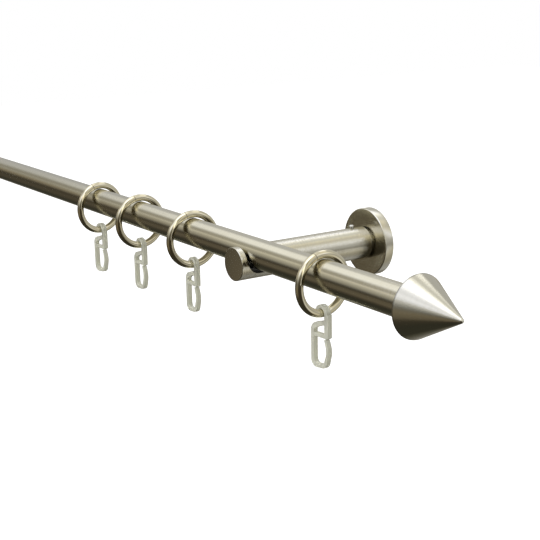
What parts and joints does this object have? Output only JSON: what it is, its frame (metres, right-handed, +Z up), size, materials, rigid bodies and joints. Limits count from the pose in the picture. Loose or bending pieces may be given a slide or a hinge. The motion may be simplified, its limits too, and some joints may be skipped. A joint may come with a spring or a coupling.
{
  "type": "curtain rod",
  "caption": "Round brushed metal curtain rod with cone finials, resting in notched tube wall brackets, with sliding rings that carry clear pleat hooks.",
  "frame": {"origin": "on the wall, midway between the two brackets' fixing screws", "axes": "+X along the rod to the right as seen from the room, +Y into the wall, +Z up"},
  "size_m": [1.0578, 0.0969, 0.063],
  "materials": {
    "brushed_nickel": "warm brushed nickel plate, fine lines round the tubes and cones",
    "polished_nickel": "polished nickel plate",
    "clear_plastic": "moulded milky clear plastic, faintly green",
    "zinc_plate": "zinc plated steel",
    "black_plastic": "moulded, matt",
    "bush_plastic": "moulded nylon"
  },
  "bodies": {
    "wall_brackets": {"wall_base_left": "zinc_plate", "rosette_left": "brushed_nickel", "bracket_arm_left": "brushed_nickel", "end_cap_left": "brushed_nickel", "rod_cradle_left": "black_plastic", "arm_screw_left": "zinc_plate", "rod_screw_left": "zinc_plate", "wall_base_right": "zinc_plate", "rosette_right": "brushed_nickel", "bracket_arm_right": "brushed_nickel", "end_cap_right": "brushed_nickel", "rod_cradle_right": "black_plastic", "arm_screw_right": "zinc_plate", "rod_screw_right": "zinc_plate"},
    "rod": {"rod_tube": "brushed_nickel"},
    "finial_left": {"finial_cone_left": "brushed_nickel", "finial_bush_left": "bush_plastic"},
    "finial_right": {"finial_cone_right": "brushed_nickel", "finial_bush_right": "bush_plastic"},
    "ring_1": {"ring_1": "polished_nickel"},
    "hook_1": {"hook_1": "clear_plastic"},
    "ring_2": {"ring_2": "polished_nickel"},
    "hook_2": {"hook_2": "clear_plastic"},
    "ring_3": {"ring_3": "polished_nickel"},
    "hook_3": {"hook_3": "clear_plastic"},
    "ring_4": {"ring_4": "polished_nickel"},
    "hook_4": {"hook_4": "clear_plastic"},
    "ring_5": {"ring_5": "polished_nickel"},
    "hook_5": {"hook_5": "clear_plastic"},
    "ring_6": {"ring_6": "polished_nickel"},
    "hook_6": {"hook_6": "clear_plastic"},
    "ring_7": {"ring_7": "polished_nickel"},
    "hook_7": {"hook_7": "clear_plastic"},
    "ring_8": {"ring_8": "polished_nickel"},
    "hook_8": {"hook_8": "clear_plastic"}
  },
  "joints": [
    {"name": "rod_lift", "type": "slide", "parent": "wall_brackets", "child": "rod", "axis": [0, 0, 1], "range_m": [0, 0.025]},
    {"name": "finial_left_pull", "type": "slide", "parent": "rod", "child": "finial_left", "axis": [-1, 0, 0], "range_m": [0, 0.02]},
    {"name": "finial_right_pull", "type": "slide", "parent": "rod", "child": "finial_right", "axis": [1, 0, 0], "range_m": [0, 0.02]},
    {"name": "ring_1_slide", "type": "slide", "parent": "rod", "child": "ring_1", "axis": [1, 0, 0], "range_m": [-0.0663, 0.0487]},
    {"name": "hook_1_swing", "type": "hinge", "parent": "ring_1", "child": "hook_1", "pos_m": [-0.4287, -0.08, -0.0142], "axis": [0.0785, 0.9969, 0], "range_deg": [-45, 45]},
    {"name": "ring_2_slide", "type": "slide", "parent": "rod", "child": "ring_2", "axis": [1, 0, 0], "range_m": [-0.0505, 0.0455]},
    {"name": "hook_2_swing", "type": "hinge", "parent": "ring_2", "child": "hook_2", "pos_m": [-0.3015, -0.08, -0.0142], "axis": [-0.0175, 0.9998, 0], "range_deg": [-45, 45]},
    {"name": "ring_3_slide", "type": "slide", "parent": "rod", "child": "ring_3", "axis": [1, 0, 0], "range_m": [-0.0455, 0.037]},
    {"name": "hook_3_swing", "type": "hinge", "parent": "ring_3", "child": "hook_3", "pos_m": [-0.236, -0.08, -0.0142], "axis": [0.0175, 0.9998, 0], "range_deg": [-45, 45]},
    {"name": "ring_4_slide", "type": "slide", "parent": "rod", "child": "ring_4", "axis": [1, 0, 0], "range_m": [-0.037, 0.338]},
    {"name": "hook_4_swing", "type": "hinge", "parent": "ring_4", "child": "hook_4", "pos_m": [-0.179, -0.08, -0.0142], "axis": [0.1045, 0.9945, 0], "range_deg": [-45, 45]},
    {"name": "ring_5_slide", "type": "slide", "parent": "rod", "child": "ring_5", "axis": [1, 0, 0], "range_m": [-0.338, 0.037]},
    {"name": "hook_5_swing", "type": "hinge", "parent": "ring_5", "child": "hook_5", "pos_m": [0.179, -0.08, -0.0142], "axis": [-0.1045, 0.9945, 0], "range_deg": [-45, 45]},
    {"name": "ring_6_slide", "type": "slide", "parent": "rod", "child": "ring_6", "axis": [1, 0, 0], "range_m": [-0.037, 0.0455]},
    {"name": "hook_6_swing", "type": "hinge", "parent": "ring_6", "child": "hook_6", "pos_m": [0.236, -0.08, -0.0142], "axis": [-0.0175, 0.9998, 0], "range_deg": [-45, 45]},
    {"name": "ring_7_slide", "type": "slide", "parent": "rod", "child": "ring_7", "axis": [1, 0, 0], "range_m": [-0.0455, 0.0505]},
    {"name": "hook_7_swing", "type": "hinge", "parent": "ring_7", "child": "hook_7", "pos_m": [0.3015, -0.08, -0.0142], "axis": [0.0175, 0.9998, 0], "range_deg": [-45, 45]},
    {"name": "ring_8_slide", "type": "slide", "parent": "rod", "child": "ring_8", "axis": [1, 0, 0], "range_m": [-0.0487, 0.0663]},
    {"name": "hook_8_swing", "type": "hinge", "parent": "ring_8", "child": "hook_8", "pos_m": [0.4287, -0.08, -0.0142], "axis": [-0.0785, 0.9969, 0], "range_deg": [-45, 45]}
  ]
}
